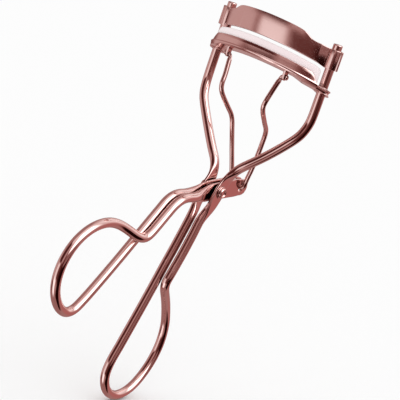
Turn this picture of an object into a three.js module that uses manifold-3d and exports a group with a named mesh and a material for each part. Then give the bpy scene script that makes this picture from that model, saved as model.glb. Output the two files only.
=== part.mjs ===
// Eyelash curler: two bent-wire handles on a common pivot, a fixed curved press bar on two guide
// posts, a sliding curved channel with a soft pad, and two link wires from channel to lever cranks.
// Millimetres. X along the press bar, Z up along the guide posts, the handles open towards -Y.
// "Right" is +X. Dimensions are from the plane of the posts (y = 0); CENTRING moves the result.
import * as THREE from "three";
import { mergeVertices } from "three/addons/utils/BufferGeometryUtils.js";
import Module from "manifold-3d";

// Wires and pivot
const WIRE_R = 1.3; // handle and frame wire
const LINK_R = 0.68;
const PIN_R = 0.48; // upper end of a link
const POST_X = 17.8; // guide post half spacing
const POST_TOP = 48.8;
const PIVOT_Y = -7.25;
const PIVOT_Z = -0.34;
const RIVET_R = 1.0; // shank
const RIVET_HEAD_R = 1.5;
const PLATE_X_FRAME = 2.3; // mid-plane of the frame's pressed plates
const PLATE_T_FRAME = 0.45; // half thickness
const PLATE_X_LEVER = 1.02; // mid-plane of the lever's pressed plates
const PLATE_T_LEVER = 0.42; // half thickness

// Curve shared by the press bar, the channel and the pad
const BAR_R = 23; // centreline radius, seen along Z
const BAR_MID_Y = -9.3; // centreline at mid span
const SLOPE = 0.31; // the bars rise towards their middle: z grows by this times -y

// Press bar and the knuckles round the posts
const UPPER_Z = 41.64; // underside at y = 0
const UPPER_T = 0.8; // sheet
const UPPER_CHAMFER = 0.12;
const WRAP_TOP_Z = 46.94; // top of the sheet's ends at y = 0
const WRAP_TOP_SLOPE = 0.233;
const KNUCKLE_Z = [41.9, 47.3];
const KNUCKLE_R = 1.66;

// Channel, with heights above the underside of its base
const PLATE_Z = 34.9; // that underside at y = 0
const PLATE_H = 1.15;
const BASE_LIFT = 0.5; // the base is this much thinner between its ends
const WALL_TOP = 3.55;
const WALL_T = 0.45;
const CHANNEL_HALF = 2.15;
const EYELET_R = 2.4; // upper rim

// Pad
const PAD_HALF = 1.6;
const PAD_TOP = 5.82; // above the base's underside
const PAD_CHAMFER = 0.35;

// Ears under the channel
const EAR = [9.55, -7.4, 36.2]; // centre of the right ear
const [EAR_X, EAR_Y, EAR_Z] = EAR;
const EAR_R = 0.98;
const EAR_T = 0.36; // half thickness

const CENTRING = [0, 28.33806705, 7.23383904]; // puts the origin at the bounding box's centre
const SIDES = [1, -1]; // right, left

const wasm = await Module();
wasm.setup();

// ---------------------------------------------------------------- solid builders
function weld(points, triangles) {
  const geometry = new THREE.BufferGeometry();
  geometry.setAttribute("position", new THREE.Float32BufferAttribute(points.flat(), 3));
  geometry.setIndex(triangles.flat());
  const merged = mergeVertices(geometry, 1e-4);
  return new wasm.Manifold(new wasm.Mesh({
    numProp: 3,
    vertProperties: merged.attributes.position.array,
    triVerts: new Uint32Array(merged.index.array),
  }));
}

// Welds the triangles, turned over if they come out facing inwards.
function closedSolid(points, triangles) {
  const solid = weld(points, triangles);
  return solid.volume() < 0 ? weld(points, triangles.map(([a, b, c]) => [a, c, b])) : solid;
}

// Triangles between successive rings of equal point count.
function sideTriangles(rings) {
  const count = rings[0].length;
  const triangles = [];
  for (let i = 0; i + 1 < rings.length; i++)
    for (let j = 0; j < count; j++) {
      const a = i * count + j;
      const b = i * count + ((j + 1) % count);
      triangles.push([a, b, b + count], [a, b + count, a + count]);
    }
  return triangles;
}

// Closed by a fan from the centre of each end ring.
function loft(rings) {
  const count = rings[0].length;
  const centre = (ring) => [0, 1, 2].map((k) => ring.reduce((sum, p) => sum + p[k], 0) / count);
  const points = [...rings.flat(), centre(rings[0]), centre(rings[rings.length - 1])];
  const triangles = sideTriangles(rings);
  const endCentre = points.length - 1;
  const endRing = (rings.length - 1) * count;
  for (let j = 0; j < count; j++) {
    const next = (j + 1) % count;
    triangles.push([endCentre - 1, next, j], [endCentre, endRing + j, endRing + next]);
  }
  return closedSolid(points, triangles);
}

// Closed by the given triangles, which index into a ring; for sections that are not convex.
function strip(rings, capTriangles) {
  const triangles = sideTriangles(rings);
  const end = (rings.length - 1) * rings[0].length;
  for (const [a, b, c] of capTriangles)
    triangles.push([a, c, b], [end + a, end + b, end + c]);
  return closedSolid(rings.flat(), triangles);
}
const SIX_POINT_CAP = [[0, 1, 2], [0, 2, 3], [0, 3, 4], [0, 4, 5]];

// Prism of a flat outline; low and high place an outline point on each end face.
function prism(outline, low, high) {
  const flat = outline.map(([a, b]) => new THREE.Vector2(a, b));
  if (THREE.ShapeUtils.isClockWise(flat)) flat.reverse();
  const rings = [low, high].map((place) => flat.map((p) => place(p.x, p.y)));
  return strip(rings, THREE.ShapeUtils.triangulateShape(flat, []));
}
const prismX = (outline, from, to) =>
  prism(outline, (y, z) => [from, y, z], (y, z) => [to, y, z]);
// bottom and top give z from y
const prismZ = (outline, bottom, top) =>
  prism(outline, (x, y) => [x, y, bottom(y)], (x, y) => [x, y, top(y)]);
const onSide = (side, outline) => outline.map(([x, y]) => [side * x, y]);

// Round solid about a line parallel to "x" or "z" through origin, from [along, radius] rows.
function turned(axis, origin, profile, sides) {
  return loft(profile.map(([along, radius]) => Array.from({ length: sides }, (_, j) => {
    const angle = ((j + 0.5) / sides) * 2 * Math.PI;
    const c = Math.cos(angle) * radius;
    const s = Math.sin(angle) * radius;
    const offset = axis === "x" ? [along, c, s] : [c, s, along];
    return offset.map((value, k) => origin[k] + value);
  })));
}

// Corner radius of a polygon whose flats are at the given radius.
const cornerRadius = (flatRadius, sides) => flatRadius / Math.cos(Math.PI / sides);

function cylinder(axis, origin, [from, to], flatRadius, sides) {
  const radius = cornerRadius(flatRadius, sides);
  return turned(axis, origin, [[from, radius], [to, radius]], sides);
}
const pivotHole = (plateX, halfLength, clearance) =>
  cylinder("x", [plateX, PIVOT_Y, PIVOT_Z], [-halfLength, halfLength], RIVET_R + clearance, 16);

// ---------------------------------------------------------------- wire builders
// Wire rows are [x, y, z, half width, half thickness]; the last two default to WIRE_R.
const SPLINE_STEPS = 14; // per pair of rows
const mix = (a, b, u) => a * (1 - u) + b * u;
const mirrorRows = (rows) => rows.map(([x, ...rest]) => [-x, ...rest]).reverse();

// Centripetal spline through the rows, easing the section from row to row.
function spline(rows) {
  const full = rows.map(([x, y, z, width = WIRE_R, thick = WIRE_R]) => [x, y, z, width, thick]);
  const points = full.map(([x, y, z]) => new THREE.Vector3(x, y, z));
  const curve = new THREE.CatmullRomCurve3(points, false, "centripetal");
  const last = full.length - 1;
  const out = [];
  for (let i = 0; i < last; i++)
    for (let k = 0; k < SPLINE_STEPS; k++) {
      const u = k / SPLINE_STEPS;
      const eased = u * u * (3 - 2 * u);
      const section = [3, 4].map((column) => mix(full[i][column], full[i + 1][column], eased));
      out.push([...curve.getPoint((i + u) / last).toArray(), ...section]);
    }
  out.push(full[last]);
  return out;
}

// Douglas-Peucker on all five numbers of a row.
function thin(rows, tolerance) {
  const keep = new Set([0, rows.length - 1]);
  const minus = (a, b) => a.map((value, k) => value - b[k]);
  const dot = (a, b) => a.reduce((sum, value, k) => sum + value * b[k], 0);
  const split = (first, last) => {
    const chord = minus(rows[last], rows[first]);
    let farthest = 0;
    let at = -1;
    for (let i = first + 1; i < last; i++) {
      const offset = minus(rows[i], rows[first]);
      const t = Math.max(0, Math.min(1, dot(offset, chord) / dot(chord, chord)));
      const miss = Math.sqrt(offset.reduce((sum, v, k) => sum + (v - t * chord[k]) ** 2, 0));
      if (miss > farthest) {
        farthest = miss;
        at = i;
      }
    }
    if (farthest > tolerance) {
      keep.add(at);
      split(first, at);
      split(at, last);
    }
  };
  split(0, rows.length - 1);
  return [...keep].sort((a, b) => a - b).map((i) => rows[i]);
}

// Superellipse ring: round when width and thickness agree, squarer the flatter it is.
function sectionRing({ centre, tangent, thickDir, width, thick, sides }) {
  const wideDir = tangent.clone().cross(thickDir);
  const exponent = 2 / (2 + 2.6 * Math.max(0, 1 - thick / width));
  const bulge = (value) => Math.sign(value) * Math.abs(value) ** exponent;
  return Array.from({ length: sides }, (_, j) => {
    const angle = ((j + 0.5) / sides) * 2 * Math.PI;
    return centre.clone()
      .addScaledVector(thickDir, bulge(Math.cos(angle)) * thick)
      .addScaledVector(wideDir, bulge(Math.sin(angle)) * width)
      .toArray();
  });
}

// Wire swept along the splined rows, its ends chamfered by endCut. fixed: the thickness direction
// stays near X; otherwise it starts along Y and is carried along without twist.
function wire(controlRows, { tolerance, sides, endCut, fixed }) {
  const rows = thin(spline(controlRows), tolerance);
  const points = rows.map(([x, y, z]) => new THREE.Vector3(x, y, z));
  const last = rows.length - 1;
  const leg = (i) => points[i + 1].clone().sub(points[i]).normalize();
  const tangentAt = (i) => {
    if (i === 0) return leg(0);
    if (i === last) return leg(last - 1);
    return leg(i - 1).add(leg(i)).normalize();
  };
  const start = fixed ? new THREE.Vector3(1, 0, 0) : new THREE.Vector3(0, 1, 0);
  let thickDir = start;
  const rings = [];
  rows.forEach(([, , , width, thick], i) => {
    const tangent = tangentAt(i);
    const from = fixed ? start : thickDir;
    thickDir = from.clone().addScaledVector(tangent, -from.dot(tangent)).normalize();
    const addRing = (shift, cut) => rings.push(sectionRing({
      centre: points[i].clone().addScaledVector(tangent, shift),
      tangent, thickDir, width: width - cut, thick: thick - cut, sides,
    }));
    if (i === last) addRing(-endCut, 0);
    addRing(0, i === 0 || i === last ? endCut : 0);
    if (i === 0) addRing(endCut, 0);
  });
  return loft(rings);
}

// ---------------------------------------------------------------- frame wire
// Right side, from the post's tip through the pivot plate to the leg.
const FRAME_SIDE = [
  [POST_X, 0, POST_TOP], [POST_X, 0, 38], [POST_X, 0, 28.4], [17.7, -0.1, 26.3],
  [17.36, -0.45, 24.4], [16.94, -0.85, 22.85], [16.3, -1.22, 21.5], [15.5, -1.55, 20.25],
  [13.76, -2.02, 17.95], [9.95, -3.15, 13.36], [5.86, -4.52, 8.95], [4.38, -4.82, 7.35],
  [3.29, -5.15, 5.63, 1.45, 1.05],
  [PLATE_X_FRAME + 0.06, -5.95, 2.97, 2.2, 0.5],
  [PLATE_X_FRAME, -7.2, -0.04, 2.6, PLATE_T_FRAME],
  [PLATE_X_FRAME, -8.35, -2.74, 2.55, PLATE_T_FRAME],
  [PLATE_X_FRAME - 0.02, -9.26, -4.81, 2.1, 0.62],
  [1.86, -10.24, -6.91, 1.5, 1.1], [1.57, -11.31, -8.98], [1.6, -12.52, -12.92],
];
// From the right leg round the finger ring to the left leg.
const FRAME_RING = [
  [1.62, -14.4, -18.5], [1.6, -16.2, -23.2], [1.57, -17.2, -25.7], [1.42, -17.6, -27.4],
  [1.1, -16.9, -29.1], [0.55, -15.1, -31.0], [-0.15, -12.5, -33.4], [-0.85, -9.6, -36.5],
  [-1.3, -7.2, -39.8], [-1.5, -5.6, -42.7], [-1.6, -4.75, -45.7], [-1.6, -4.5, -48.9],
  [-1.6, -4.95, -52.1], [-1.6, -6.1, -55.3], [-1.6, -8.0, -58.5], [-1.6, -10.8, -61.5],
  [-1.6, -14.6, -63.5], [-1.6, -19.0, -63.9], [-1.6, -23.0, -62.4], [-1.6, -26.0, -59.5],
  [-1.6, -27.5, -56.0], [-1.6, -27.1, -52.2], [-1.6, -25.3, -47.6], [-1.6, -20.1, -34.1],
  [-1.6, -16.3, -23.5], [-1.62, -14.4, -18.5],
];

function makeFrame() {
  const rows = [...FRAME_SIDE, ...FRAME_RING, ...mirrorRows(FRAME_SIDE)];
  let frame = wire(rows, { tolerance: 0.045, sides: 12, endCut: 0.22, fixed: true });
  for (const side of SIDES) frame = frame.subtract(pivotHole(side * PLATE_X_FRAME, 1.2, 0.03));
  return frame;
}

// ---------------------------------------------------------------- lever wire
// Right side, from the crank's tip past the pivot to the leg.
const LEVER_SIDE = [
  [PLATE_X_LEVER, 8.43, 0.02, 0.75, 0.3],
  [PLATE_X_LEVER, 8.08, 0.05, 1.45, PLATE_T_LEVER],
  [PLATE_X_LEVER, 7.28, 0.17, 2.1, PLATE_T_LEVER],
  [PLATE_X_LEVER, 5.78, 0.32, 2.5, PLATE_T_LEVER],
  [PLATE_X_LEVER, 2.68, 0.22, 2.75, PLATE_T_LEVER],
  [PLATE_X_LEVER, -2.32, -0.23, 2.65, PLATE_T_LEVER],
  [PLATE_X_LEVER, -7.32, -0.63, 2.6, PLATE_T_LEVER],
  [PLATE_X_LEVER, -11.62, -1.23, 2.45, PLATE_T_LEVER],
  [1.12, -14.19, -1.68, 1.9, 0.75], [1.39, -16.69, -1.89, 1.4, 1.2],
  [1.43, -18.62, -2.0], [1.45, -21.75, -2.07], [1.45, -24.27, -2.68], [1.45, -26.4, -4.0],
  [1.4, -28.3, -6.1], [1.4, -31.2, -9.5],
];
// From the right leg round the finger ring to the left leg.
const LEVER_RING = [
  [1.38, -33.4, -11.9], [1.3, -34.9, -12.95], [1.1, -36.8, -13.1], [0.5, -39.5, -12.25],
  [-0.3, -42.4, -10.95], [-0.95, -45.4, -9.85], [-1.4, -49.2, -9.25], [-1.5, -53.6, -9.75],
  [-1.5, -57.6, -11.35], [-1.5, -60.9, -14.1], [-1.5, -63.0, -17.6], [-1.5, -63.9, -21.6],
  [-1.5, -63.4, -25.8], [-1.5, -61.5, -29.6], [-1.5, -58.6, -32.5], [-1.5, -55.4, -33.9],
  [-1.5, -52.6, -33.4], [-1.5, -50.0, -31.3], [-1.45, -42.2, -22.7], [-1.4, -34.0, -12.9],
];
// Slot in the crank, in [y, z]: two half circles, each moved from the centre by SLOT_OFFSET.
const SLOT_CENTRE = [4.75, 0.75];
const SLOT_OFFSET = [-0.3, 0.72];
const SLOT_R = 1.12;

function slotOutline() {
  const [offsetY, offsetZ] = SLOT_OFFSET;
  const startAngle = Math.atan2(offsetZ, offsetY) - Math.PI / 2 + 0.01;
  return Array.from({ length: 20 }, (_, k) => {
    const angle = (k / 20) * 2 * Math.PI + startAngle;
    const end = k < 10 ? 1 : -1;
    return [
      SLOT_CENTRE[0] + end * offsetY + SLOT_R * Math.cos(angle),
      SLOT_CENTRE[1] + end * offsetZ + SLOT_R * Math.sin(angle),
    ];
  });
}

function makeLever() {
  const rows = [...LEVER_SIDE, ...LEVER_RING, ...mirrorRows(LEVER_SIDE)];
  let lever = wire(rows, { tolerance: 0.045, sides: 12, endCut: 0.12, fixed: true });
  for (const side of SIDES) {
    const plateX = side * PLATE_X_LEVER;
    lever = lever.subtract(pivotHole(plateX, 1, 0.06));
    lever = lever.subtract(prismX(slotOutline(), plateX - 1, plateX + 1));
  }
  return lever;
}

// ---------------------------------------------------------------- press bar
// Point on the bars' curve: x is its station on the centreline, offset is outwards (-Y at mid
// span), z is the height the point would have at y = 0.
function barPoint(x, offset, z) {
  const angle = Math.asin(x / BAR_R);
  const radius = BAR_R + offset;
  const y = BAR_MID_Y + BAR_R - radius * Math.cos(angle);
  return [radius * Math.sin(angle), y, z - SLOPE * y];
}
const sloped = (z) => (y) => z - SLOPE * y;
const bothSides = (stations) => [...stations.slice(1).reverse().map((x) => -x), ...stations];

const UPPER_STATIONS = bothSides([0, 2.5, 5, 7.5, 9.5, 10.6, 11.4, 12.1, 12.9, 14, 15.2]);
// [|x|, height of the top edge]: tall middle, shoulders, low ends
const UPPER_HEIGHTS = [
  [0, 6.15], [8, 6.1], [10.3, 5.95], [11.2, 5.7], [12.1, 5.05], [12.9, 4.75], [14, 4.75],
  [15.4, 4.95],
];
// Sheet from the bar's right end to the post, [x, y]
const WRAP_OUTLINE = [
  [15.26, -4.04], [15.75, -3.3], [16.85, -1.45], [17.3, -0.9],
  [16.6, -0.5], [16.16, -1.04], [15.06, -2.89], [14.74, -3.44],
];
// Flange on the outboard side of the right knuckle, [x, y]
const FLANGE_OUTLINE = [[18.9, -0.55], [20.05, -0.42], [20.1, 0.1], [18.9, 0.35]];

function upperHeight(x) {
  const distance = Math.abs(x);
  const next = UPPER_HEIGHTS.findIndex(([end], i) => i > 0 && distance <= end);
  const [[x0, height0], [x1, height1]] = UPPER_HEIGHTS.slice(next - 1, next + 1);
  return mix(height0, height1, (distance - x0) / (x1 - x0));
}

function upperRing(x) {
  const half = UPPER_T / 2;
  const top = UPPER_Z + upperHeight(x);
  return [
    [half, UPPER_Z], [-half, UPPER_Z],
    [-half, top - UPPER_CHAMFER], [UPPER_CHAMFER - half, top],
    [half - UPPER_CHAMFER, top], [half, top - UPPER_CHAMFER],
  ].map(([offset, z]) => barPoint(x, offset, z));
}

function makeKnuckle(side) {
  const [bottom, top] = KNUCKLE_Z;
  const radius = cornerRadius(KNUCKLE_R, 16);
  return turned("z", [side * POST_X, 0, 0], [
    [bottom, radius - 0.1], [bottom + 0.12, radius], [top - 0.12, radius], [top, radius - 0.1],
  ], 16);
}

function makeUpperBar() {
  const [bottom, top] = KNUCKLE_Z;
  let bar = strip(UPPER_STATIONS.map(upperRing), SIX_POINT_CAP);
  for (const side of SIDES) {
    const wrapTop = (y) => WRAP_TOP_Z - WRAP_TOP_SLOPE * y;
    bar = bar.add(prismZ(onSide(side, WRAP_OUTLINE), sloped(UPPER_Z), wrapTop));
    bar = bar.add(makeKnuckle(side));
    const flange = onSide(side, FLANGE_OUTLINE);
    bar = bar.add(prismZ(flange, () => bottom + 0.1, () => top - 0.1));
  }
  for (const side of SIDES)
    bar = bar.subtract(cylinder("z", [side * POST_X, 0, 0], [40, 49], WIRE_R + 0.03, 16));
  return bar;
}

// ---------------------------------------------------------------- channel with eyelets
const LOWER_STATIONS = bothSides([0, 2.5, 5, 7.5, 10, 12, 13.5, 14.5, 15.1, 15.6, 16.1, 16.35]);
const CHANNEL_CAP = [
  [0, 1, 11], [1, 6, 11], [1, 2, 5], [1, 5, 6], [2, 3, 5], [3, 4, 5],
  [6, 10, 11], [6, 7, 10], [7, 9, 10], [7, 8, 9],
];
// Plate carrying the right eyelet, [x, y]
const TAB_OUTLINE = [
  [14.6, -6.4], [15.5, -5.8], [16.4, -5.0], [17.3, -4.1], [18.3, -3.0], [19.2, -2.0],
  [19.75, -1.3], [17.6, 1.9], [15.9, 1.2], [15.5, 0], [15.0, -0.9], [14.2, -1.7], [13.4, -2.9],
];
// Flared at both rims, [z at y = 0, radius]
const EYELET_PROFILE = [
  [34.72, 2.1], [34.86, 2.28], [35.0, 2.2], [35.45, 1.98], [35.95, 2.12],
  [36.15, EYELET_R], [36.3, EYELET_R - 0.1],
];

// How far the walls come down near the channel's ends.
function wallDrop(x) {
  const beyond = Math.abs(x) - 14.5;
  return beyond < 0 ? 0 : Math.min(2.35, 2.35 * Math.pow(beyond / 1.65, 1.6));
}

function channelRing(x) {
  const half = CHANNEL_HALF;
  const wallTop = WALL_TOP - wallDrop(x);
  const lift = BASE_LIFT * Math.max(0, Math.min(1, (14 - Math.abs(x)) / 2.5));
  return [
    [half + 0.28, 0.12 + lift], [half + 0.16, lift], // lip on the convex side
    [-half, lift], [-half, wallTop], [-half + WALL_T, wallTop], // wall on the concave side
    [-half + WALL_T, PLATE_H], [half - WALL_T, PLATE_H], // floor
    [half - WALL_T, wallTop], [half - 0.28, wallTop], [half - 0.19, wallTop - 0.12], // convex wall
    [half + 0.08, PLATE_H + 0.3], [half + 0.28, PLATE_H],
  ].map(([offset, up]) => barPoint(x, offset, PLATE_Z + up));
}

// The warp makes the eyelet's rims parallel to the sloping plate.
function makeEyelet(side) {
  return turned("z", [side * POST_X, 0, 0], EYELET_PROFILE, 20).warp((point) => {
    point[2] -= SLOPE * point[1];
  });
}

function makeLowerBar() {
  let bar = strip(LOWER_STATIONS.map(channelRing), CHANNEL_CAP);
  for (const side of SIDES) {
    const tab = onSide(side, TAB_OUTLINE);
    bar = bar.add(prismZ(tab, sloped(PLATE_Z), sloped(PLATE_Z + PLATE_H)));
    bar = bar.add(makeEyelet(side));
  }
  for (const side of SIDES)
    bar = bar.subtract(cylinder("z", [side * POST_X, 0, 0], [33, 40], WIRE_R + 0.08, 16));
  return bar;
}

// ---------------------------------------------------------------- pad
// Section scale by |x| near the rounded ends, 1 elsewhere.
const PAD_END_SCALE = { 15.1: 0.97, 15.6: 0.86, 16.1: 0.6, 16.35: 0.34 };

function padRing(x) {
  const scale = PAD_END_SCALE[Math.abs(x)] ?? 1;
  const half = PAD_HALF * scale;
  const bottom = PLATE_H + 0.04;
  const top = PAD_TOP - (1 - scale) * 0.8;
  const flat = half - PAD_CHAMFER * scale;
  return [
    [half, bottom], [-half, bottom], [-half, top - PAD_CHAMFER],
    [-flat, top], [flat, top], [half, top - PAD_CHAMFER],
  ].map(([offset, up]) => barPoint(x, offset, PLATE_Z + up));
}

const makePad = () => strip(LOWER_STATIONS.map(padRing), SIX_POINT_CAP);

// ---------------------------------------------------------------- right ear
// Half disc below, reaching up into the channel's base.
function makeEar() {
  const outline = [];
  for (let k = 0; k <= 10; k++) {
    const angle = Math.PI + (k / 10) * Math.PI;
    outline.push([EAR_Y + EAR_R * Math.cos(angle), EAR_Z + EAR_R * Math.sin(angle)]);
  }
  for (const y of [EAR_Y + EAR_R, EAR_Y - EAR_R])
    outline.push([y, sloped(PLATE_Z + BASE_LIFT - 0.02)(y)]);
  return prismX(outline, EAR_X - EAR_T, EAR_X + EAR_T)
    .subtract(cylinder("x", EAR, [-2, 2], PIN_R + 0.12, 12));
}

// ---------------------------------------------------------------- right link
// Pin through the ear and the bend below it, [x, z] from the ear's centre
const PIN_PATH = [
  [0.75, 0], [0.3, 0], [-0.1, 0], [-0.38, 0],
  [-0.617, -0.047], [-0.818, -0.182], [-0.953, -0.383], [-1.0, -0.62],
];
// From below the ear to the foot in the crank's slot, [x, y, z, radius if not LINK_R]
const LINK_PATH = [
  [8.5, -7.43, 35.15, 0.56], [8.43, -7.49, 34.75], [8.27, -7.66, 34.0], [7.65, -8.35, 30.4],
  [7.38, -8.85, 28.2], [7.16, -8.72, 26.8], [6.97, -7.75, 25.4], [6.4, -3.6, 21.9],
  [6.08, -0.95, 19.8], [5.78, 0.15, 18.2], [5.26, 1.15, 15.3], [4.18, 2.83, 9.77],
  [3.46, 3.72, 6.58], [2.88, 4.26, 4.19], [2.55, 4.62, 2.6], [2.43, 4.73, 1.45],
  [2.309, 4.73, 1.0], [1.98, 4.73, 0.671], [1.53, 4.73, 0.55], [0.9, 4.73, 0.55],
  [0.3, 4.73, 0.55],
];
// Ball head on the pin, [along x from the ear's centre, radius]
const BALL_PROFILE = [
  [0.44, 0.4], [0.5, 0.6], [0.68, 0.72], [0.92, 0.68], [1.08, 0.5], [1.15, 0.22],
];

function makeLink() {
  const pin = PIN_PATH.map(([x, z]) => [EAR_X + x, EAR_Y, EAR_Z + z, PIN_R]);
  const rows = [...pin, ...LINK_PATH]
    .map(([x, y, z, radius = LINK_R]) => [x, y, z, radius, radius]);
  return wire(rows, { tolerance: 0.04, sides: 8, endCut: 0.15, fixed: false })
    .add(turned("x", EAR, BALL_PROFILE, 12));
}

// ---------------------------------------------------------------- right rivet and washer
const PIVOT = [0, PIVOT_Y, PIVOT_Z];
// Inner head, shank, and an outer head with a dished face, [x, radius]
const RIVET_PROFILE = [
  [0.22, 1.3], [0.32, RIVET_HEAD_R], [0.52, RIVET_HEAD_R], [0.52, RIVET_R], [3.08, RIVET_R],
  [3.08, RIVET_HEAD_R], [3.35, RIVET_HEAD_R], [3.58, 1.41], [3.7, 1.27], [3.73, 1.15],
  [3.66, 1.0], [3.5, 0.92], [3.39, 0.82], [3.38, 0.3],
];

const makeRivet = () => turned("x", PIVOT, RIVET_PROFILE, 24);
const makeWasher = () => cylinder("x", PIVOT, [2.82, 3.05], 1.85, 24)
  .subtract(cylinder("x", PIVOT, [2, 5], RIVET_R + 0.05, 20));

// ---------------------------------------------------------------- assembly
const MATERIALS = {
  wire: { color: 0xb9776b, roughness: 0.18, metalness: 1 },
  upperBar: { color: 0xc08478, roughness: 0.3, metalness: 1 },
  lowerBar: { color: 0xbb7a6e, roughness: 0.24, metalness: 1 },
  silicone: { color: 0xf1e4e7, roughness: 0.45, metalness: 0 },
  link: { color: 0xb07064, roughness: 0.22, metalness: 1 },
  ear: { color: 0xb5766a, roughness: 0.25, metalness: 1 },
  rivet: { color: 0xc08478, roughness: 0.2, metalness: 1 },
  washer: { color: 0x9a5a50, roughness: 0.3, metalness: 1 },
};

const group = new THREE.Group();
group.name = "eyelash_curler";

function put(name, solid, material) {
  const { vertProperties, triVerts } = solid.getMesh();
  const positions = vertProperties.map((value, i) => value + CENTRING[i % 3]);
  const geometry = new THREE.BufferGeometry();
  geometry.setAttribute("position", new THREE.BufferAttribute(positions, 3));
  geometry.setIndex(new THREE.BufferAttribute(new Uint32Array(triVerts), 1));
  geometry.computeVertexNormals();
  const mesh = new THREE.Mesh(geometry, new THREE.MeshStandardMaterial(material));
  mesh.name = name;
  group.add(mesh);
}

function putPair(name, right, material) {
  put(`${name}_right`, right, material);
  put(`${name}_left`, right.mirror([1, 0, 0]), material);
}

put("frame", makeFrame(), MATERIALS.wire);
put("lever_handle", makeLever(), MATERIALS.wire);
put("upper_bar", makeUpperBar(), MATERIALS.upperBar);
put("lower_bar", makeLowerBar(), MATERIALS.lowerBar);
put("silicone_pad", makePad(), MATERIALS.silicone);
putPair("link", makeLink(), MATERIALS.link);
putPair("link_ear", makeEar(), MATERIALS.ear);
putPair("rivet", makeRivet(), MATERIALS.rivet);
putPair("washer", makeWasher(), MATERIALS.washer);
export default group;
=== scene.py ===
"""An eyelash curler in polished, rosy plated metal with a silicone pad.

It stands upright: X runs across the tool, -Y is its front and +Z is up. One bent wire makes the
two posts and a finger ring. A second wire makes the lever, which turns on rivets through both.
Two links join the lever to a channel with the pad, which rides on the posts under a fixed bar.
Shapes are given in design millimetres, mirrored about X = 0; add_mesh moves them to metres.
"""
import math

import bmesh
import bpy
import numpy as np
from mathutils import Matrix, Vector
from mathutils.geometry import tessellate_polygon


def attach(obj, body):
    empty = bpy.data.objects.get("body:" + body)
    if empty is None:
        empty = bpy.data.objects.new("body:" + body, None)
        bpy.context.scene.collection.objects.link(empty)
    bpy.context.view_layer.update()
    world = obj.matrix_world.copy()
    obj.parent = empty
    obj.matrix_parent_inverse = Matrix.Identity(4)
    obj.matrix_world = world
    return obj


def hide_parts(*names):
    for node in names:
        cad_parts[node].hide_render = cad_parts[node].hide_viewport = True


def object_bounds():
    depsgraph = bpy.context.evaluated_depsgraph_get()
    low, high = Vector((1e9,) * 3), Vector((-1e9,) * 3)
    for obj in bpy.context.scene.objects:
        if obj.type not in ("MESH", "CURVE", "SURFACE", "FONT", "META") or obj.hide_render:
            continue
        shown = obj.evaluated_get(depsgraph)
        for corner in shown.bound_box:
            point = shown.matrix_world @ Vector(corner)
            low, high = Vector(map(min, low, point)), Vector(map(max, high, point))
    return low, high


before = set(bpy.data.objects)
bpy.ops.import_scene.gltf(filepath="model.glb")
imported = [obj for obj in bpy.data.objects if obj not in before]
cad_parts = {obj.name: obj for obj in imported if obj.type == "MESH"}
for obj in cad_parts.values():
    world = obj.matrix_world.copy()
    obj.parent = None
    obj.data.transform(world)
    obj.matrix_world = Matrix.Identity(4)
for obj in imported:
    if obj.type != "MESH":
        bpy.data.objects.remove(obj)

cad_lo, cad_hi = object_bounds()

# ------------------------------------------------------------------ shared dimensions, mm
SHIFT = np.array([0.0, 28.33806705, 7.23383904])  # from design origin to the part's origin
MM = 0.001
SIDES = (1, -1)                                   # right (+X), left (-X)

WIRE_R = 1.3
POST_X, POST_TOP = 17.8, 48.8
PIVOT_Y, PIVOT_Z = -7.25, -0.34                   # axis of the rivets
FRAME_PLATE_X, FRAME_PLATE_T = 2.3, 0.45          # flattened wire: place, half thickness
LEVER_PLATE_X, LEVER_PLATE_T = 1.02, 0.42
RIVET_R, LINK_R, PIN_R = 1.0, 0.68, 0.48

BAR_R, BAR_MID_Y = 23.0, -9.3                     # plan arc of both bars, and its front point
SLOPE = 0.31                                      # rise of both bars towards the front
PRESS_Z, PRESS_T = 41.64, 0.8
CHANNEL_Z = 34.9                                  # base height; the next four are above it
FLOOR_H, BASE_LIFT, WALL_TOP, PAD_TOP = 1.15, 0.5, 3.55, 5.82
CHANNEL_HALF, WALL_T, PAD_HALF = 2.15, 0.45, 1.6
CHANNEL_END = 16.35                               # X where the channel stops
EAR_X, EAR_Y, EAR_Z = 9.55, -7.4, 36.2            # centre of the eye in the ear
EAR_R = 0.97


# ------------------------------------------------------------------ mesh helpers
def add_mesh(name, verts, faces, uvs=None, angle=32):
    """Object in metres from vertices in design millimetres; uvs holds one tuple per face."""
    mesh = bpy.data.meshes.new(name)
    places = (np.asarray(verts, float) + SHIFT) * MM
    mesh.from_pydata([tuple(p) for p in places], [], [tuple(int(i) for i in f) for f in faces])
    if uvs is not None:
        layer = mesh.uv_layers.new(name="along")
        flat = np.array([corner for face in uvs for corner in face], np.float32)
        layer.data.foreach_set("uv", flat.ravel())
    mesh.validate()
    ob = bpy.data.objects.new(name, mesh)
    bpy.context.scene.collection.objects.link(ob)
    bm = bmesh.new()
    bm.from_mesh(mesh)
    bmesh.ops.recalc_face_normals(bm, faces=bm.faces)
    bm.to_mesh(mesh)
    bm.free()
    shade(ob, angle)
    return ob


def shade(ob, angle):
    """Smooth shading with edges sharper than angle (degrees) kept crisp."""
    ob.data.polygons.foreach_set("use_smooth", [True] * len(ob.data.polygons))
    ob.data.set_sharp_from_angle(angle=math.radians(angle))
    ob.data.update()


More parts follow.
